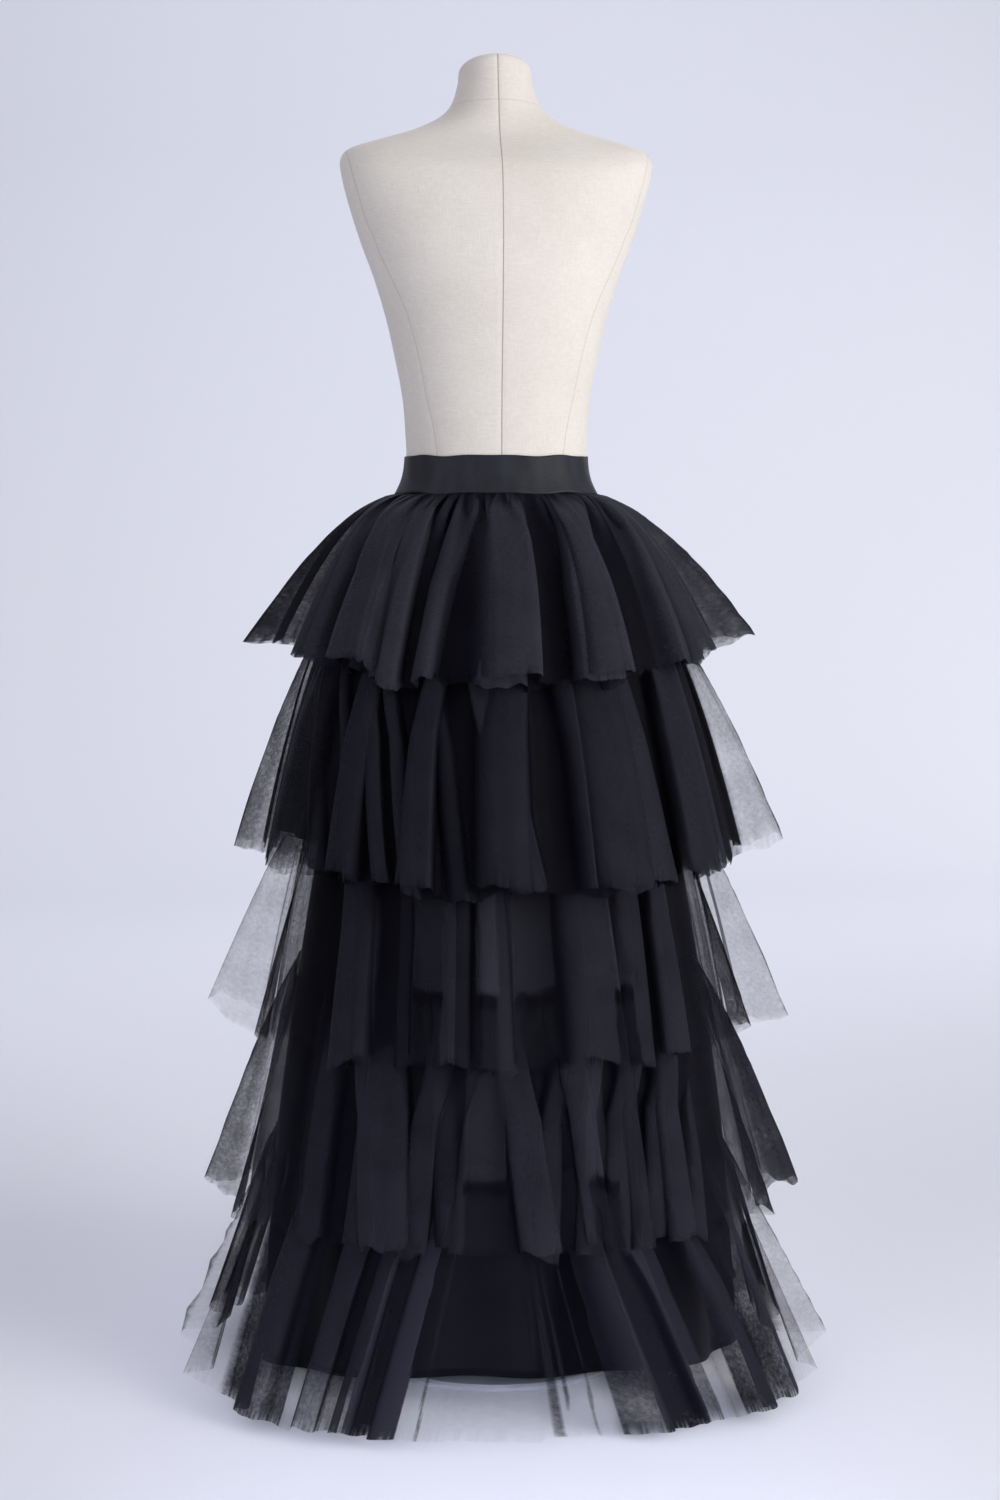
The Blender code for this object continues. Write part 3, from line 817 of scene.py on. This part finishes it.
for tier in TIERS:
    for ply_name, folds, fullness, inside, lift, seed, net in tier["plies"]:
        ply = {
            "folds": folds, "fullness": fullness, "inside": inside, "lift": lift,
            "seed": seed, "start": seed, "net": net,
        }
        rows, nets, painted_lights = gathered_strip(tier, ply)
        # the width that the strip was cut to, from the area of the modelled folds
        edges = np.linalg.norm(rows - np.roll(rows, -1, axis=1), axis=2).sum(axis=1)
        area = 0.5 * (edges[1:] + edges[:-1]) @ np.linalg.norm(rows[1:] - rows[:-1], axis=2).mean(axis=1)
        width = round(float(area / tier["length"]), 2)
        strip = cloth_grid(
            tier["name"] + "_" + ply_name, tier["columns"], tier["rows"], from_rows(rows),
            (width, tier["length"]), painted=[("net", from_rows(nets)), ("painted_light", from_rows(painted_lights))],
        )
        wear(strip, tulle)
        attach(strip, "root")
    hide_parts(tier["name"])


# ------------------------------------------------------------------ waistband
# A strip of 45 mm woven elastic, joined to a ring and drawn over the top of the skirt. Rubber
# cords run inside it from end to end, so its face has fine level ribs and a soft sheen.

AROUND_BAND = 256
UP_BAND = 24
BAND_CUT = (0.64, 0.044)
BAND_THICKNESS = 0.0015


def band_place(u, v):
    """The band's outer face, close round the waist, its edges a little wavy."""
    turn = 2 * math.pi * u
    edge = 0.0007 * np.sin(7 * turn + 1.0) + 0.0005 * np.sin(12 * turn)
    height = WAIST_LOW + (WAIST_HIGH - WAIST_LOW) * v + edge
    section = smooth_at(FORM, height)
    out = 0.0021 + 0.0003 * np.sin(16 * turn + 3 * v) + 0.004 * (1 - v) ** 3
    return form_skin(turn, section, out)


# Black polyester woven over rubber: level ribs 1.5 mm apart, a soft sheen, and a tone that is
# lighter and darker in upright streaks 18 mm wide.
elastic, tree, shader = new_material(
    "black_woven_elastic", Roughness=0.55, Specular_IOR_Level=0.30, Sheen_Weight=0.08
)
cut = add_node(tree, "ShaderNodeUVMap", uv_map="cut")
sides = add_node(tree, "ShaderNodeSeparateXYZ", [("Vector", cut.outputs[0])])
ribs = add_node(
    tree, "ShaderNodeMath", [(0, sides.outputs["Y"]), (1, 2 * math.pi / 0.0015)], operation="MULTIPLY"
)
ribs = add_node(tree, "ShaderNodeMath", [(0, ribs.outputs[0])], operation="SINE")
streak_stretch = add_node(tree, "ShaderNodeMapping", [("Vector", cut.outputs[0]), ("Scale", (1.0, 0.35, 1.0))])
patches = add_node(
    tree, "ShaderNodeTexNoise", [("Vector", streak_stretch.outputs[0]), ("Scale", 1 / 0.018), ("Detail", 2.0)]
)
tones = add_node(tree, "ShaderNodeValToRGB", [("Fac", patches.outputs["Fac"])])
tones.color_ramp.elements[0].position = 0.35
tones.color_ramp.elements[0].color = linear("#101119")
tones.color_ramp.elements[1].position = 0.7
tones.color_ramp.elements[1].color = linear("#1c2029")
raised = add_node(
    tree, "ShaderNodeBump", [("Height", ribs.outputs[0]), ("Strength", 0.4), ("Distance", 0.0002)]
)
tree.links.new(tones.outputs["Color"], shader.inputs["Base Color"])
tree.links.new(raised.outputs["Normal"], shader.inputs["Normal"])

band = cloth_grid("elastic_waistband", AROUND_BAND, UP_BAND, band_place, BAND_CUT)
give_wall(band, BAND_THICKNESS, -1.0)
wear(band, elastic)
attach(band, "root")
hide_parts("waistband")


# ------------------------------------------------------------------ studio
# A seamless pale lavender sweep, one broad soft light from each side, a third overhead, two on the
# backdrop and a weak, narrow one low down for the floor under the hem. The camera is behind the
# form, 1.01 m up and 3.2 m off.

# metres: the sweep's width and length, where it starts, its level run and its curve
SWEEP_WIDTH = 80.0
SWEEP_LENGTH = 55.0
SWEEP_START = -40.0
SWEEP_LEVEL = 44.0
SWEEP_CURVE = 3.0

# Matt seamless paper, pale lavender: no texture shows from here, only a faint unevenness in how
# matt it is, in patches a third of a metre wide.
paper, tree, shader = new_material("matt_paper", Base_Color=linear("#e0e2ea"))
place = add_node(tree, "ShaderNodeTexCoord").outputs["Object"]
grain = add_node(tree, "ShaderNodeTexNoise", [("Vector", place), ("Scale", 3.0), ("Detail", 3.0)])
rough = add_node(
    tree, "ShaderNodeMapRange", [("Value", grain.outputs["Fac"]), ("To Min", 0.9), ("To Max", 1.0)]
)
tree.links.new(rough.outputs[0], shader.inputs["Roughness"])


def sweep_place(u, v):
    """The floor, a wide curve and the wall behind."""
    x = (u - 0.5) * SWEEP_WIDTH
    run = v * SWEEP_LENGTH
    bend = np.clip((run - SWEEP_LEVEL) / SWEEP_CURVE, 0, 1) * math.pi / 2
    radius = SWEEP_CURVE * 2 / math.pi
    y = SWEEP_START + np.minimum(run, SWEEP_LEVEL) + radius * np.sin(bend)
    z = radius * (1 - np.cos(bend)) + np.maximum(run - SWEEP_LEVEL - SWEEP_CURVE, 0)
    return np.stack([x, y, z], axis=1)


sweep = cloth_grid("paper_sweep", 8, 440, sweep_place, (SWEEP_WIDTH, SWEEP_LENGTH), closed=False)
wear(sweep, paper)

# each light: place, aim, size in metres, power in watts, spread of the beam in degrees, tint
for name, where, aim, size, power, beam, tint in (
    ("window_left", (-3.0, -3.2, 2.0), (0, 0, 0.9), 2.4, 40, 180, "#f2f3ff"),
    ("window_right", (3.1, -2.7, 1.7), (0, 0, 0.9), 2.4, 144, 180, "#fffdfb"),
    ("overhead", (0.0, 2.8, 4.6), (0, 0, 0.9), 4.0, 70, 180, "#f8f7ff"),
    ("backdrop_wash", (0.3, 2.9, 3.4), (0.3, 5.9, 1.3), 3.0, 32, 180, "#f8f8ff"),
    ("backdrop_glow", (3.6, 3.2, 1.0), (1.8, 5.6, 0.3), 1.6, 26, 180, "#fdfaf8"),
    ("hem_fill", (-0.1, -2.7, 0.72), (0, -0.3, -0.12), 0.8, 2.9, 22, "#e8ebff"),
):
    lamp = bpy.data.lights.new(name, "AREA")
    lamp.size = size
    lamp.energy = power
    lamp.spread = math.radians(beam)
    lamp.color = linear(tint)[:3]
    holder = bpy.data.objects.new(name, lamp)
    bpy.context.scene.collection.objects.link(holder)
    holder.location = where
    holder.rotation_euler = (Vector(aim) - Vector(where)).to_track_quat("-Z", "Y").to_euler()

world = bpy.data.worlds.new("studio_air")
world.use_nodes = True
world.node_tree.nodes["Background"].inputs["Color"].default_value = linear("#e3e3ea")
world.node_tree.nodes["Background"].inputs["Strength"].default_value = 0.535
bpy.context.scene.world = world
bpy.context.scene.view_settings.view_transform = "Standard"

CAMERA_AWAY = 3.2
CAMERA_ASIDE = 0.0045
CAMERA_HEIGHT = 1.010
CAMERA_DOWN = math.radians(4.9066)
CAMERA_TURN = math.radians(5.0)
lens = bpy.data.cameras.new("camera")
lens.lens = 64.3
camera = bpy.data.objects.new("camera", lens)
bpy.context.scene.collection.objects.link(camera)
camera.location = (
    -CAMERA_AWAY * math.sin(CAMERA_TURN) + CAMERA_ASIDE * math.cos(CAMERA_TURN),
    -CAMERA_AWAY * math.cos(CAMERA_TURN) - CAMERA_ASIDE * math.sin(CAMERA_TURN),
    CAMERA_HEIGHT,
)
camera.rotation_euler = (math.pi / 2 - CAMERA_DOWN, 0, -CAMERA_TURN)
bpy.context.scene.camera = camera
